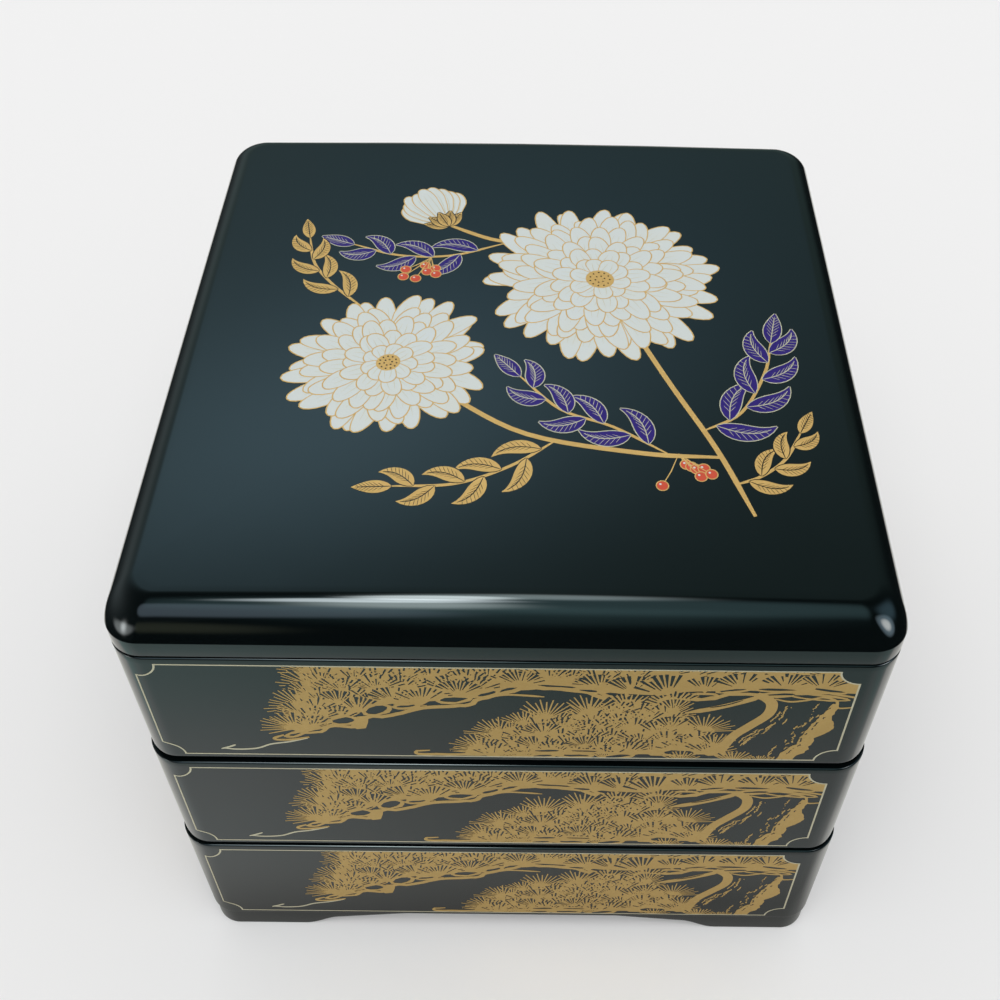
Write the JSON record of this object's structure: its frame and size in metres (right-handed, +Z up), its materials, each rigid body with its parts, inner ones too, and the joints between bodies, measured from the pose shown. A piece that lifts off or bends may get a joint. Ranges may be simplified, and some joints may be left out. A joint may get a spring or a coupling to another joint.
{
  "type": "tiered food box",
  "caption": "Square glossy lacquer food box: stacked trays with shadow-line seams and corner feet under a domed lift-off lid, for packing and serving food.",
  "frame": {"origin": "middle of the box at the level of the feet's soles", "axes": "+Z up, through the middle of the stack; the front faces -Y"},
  "size_m": [0.196, 0.196, 0.1786],
  "materials": {
    "black_green_lacquer": "gloss",
    "gold_print": "satin",
    "pearl_print": "satin",
    "violet_print": "satin",
    "red_print": "satin"
  },
  "bodies": {
    "root": {"bottom_tier": "black_green_lacquer", "middle_tier": "black_green_lacquer", "top_tier": "black_green_lacquer", "lid": "black_green_lacquer"}
  },
  "joints": []
}
